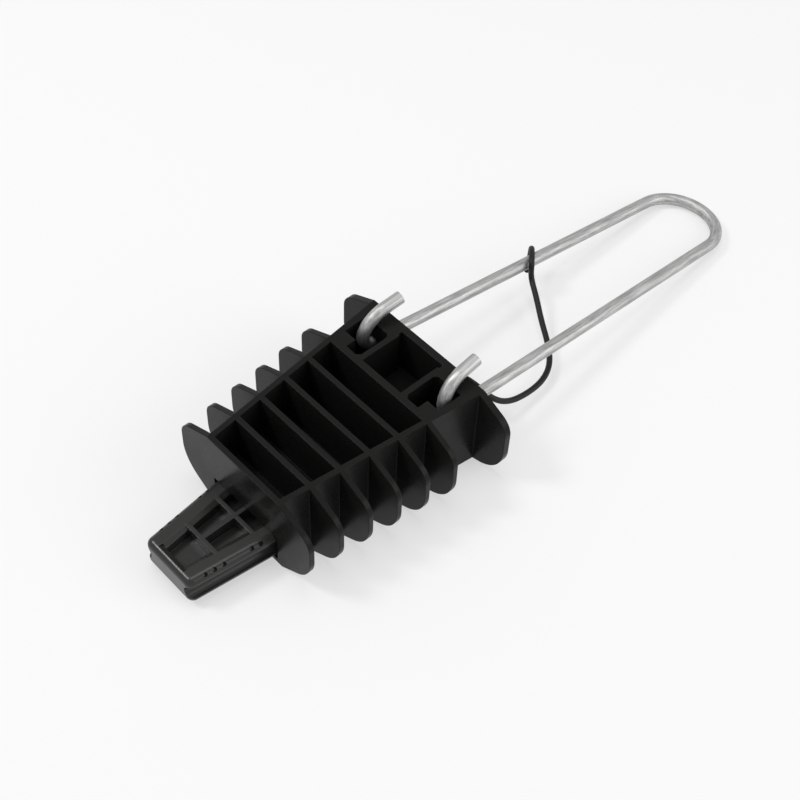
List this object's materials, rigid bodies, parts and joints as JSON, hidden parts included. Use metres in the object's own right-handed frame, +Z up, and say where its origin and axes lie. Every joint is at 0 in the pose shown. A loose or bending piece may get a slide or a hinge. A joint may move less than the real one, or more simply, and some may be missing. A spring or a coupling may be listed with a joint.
{
  "type": "dead-end anchor clamp",
  "caption": "Wedge dead-end anchor clamp for an aerial drop cable: a ribbed moulded body with a sliding grooved wedge and a hooked wire bail kept by a cord.",
  "frame": {"origin": "middle of the front flange's outer face, at the flat underside", "axes": "+X along the pull from the span end to the pole end, Y across the body, +Z up out of the open slots"},
  "size_m": [0.2889, 0.0874, 0.0453],
  "materials": {
    "body_plastic": "satin moulded, weather-resistant black",
    "wedge_plastic": "satin moulded, weather-resistant black",
    "galvanised_wire": "drawn and galvanised, semi-bright",
    "cord": "satin sheathed cord"
  },
  "bodies": {
    "body": {"clamp_body": "body_plastic"},
    "wedge": {"cable_wedge": "wedge_plastic"},
    "bail": {"wire_bail": "galvanised_wire", "retaining_cord": "cord", "cord_knot": "cord"}
  },
  "joints": [
    {"name": "wedge_slide", "type": "slide", "parent": "body", "child": "wedge", "axis": [1, 0, 0], "range_m": [-0.004, 0.03]},
    {"name": "bail_swing", "type": "hinge", "parent": "body", "child": "bail", "pos_m": [0.0831, 0, 0.0249], "axis": [0, -1, 0], "range_deg": [0, 12]}
  ]
}
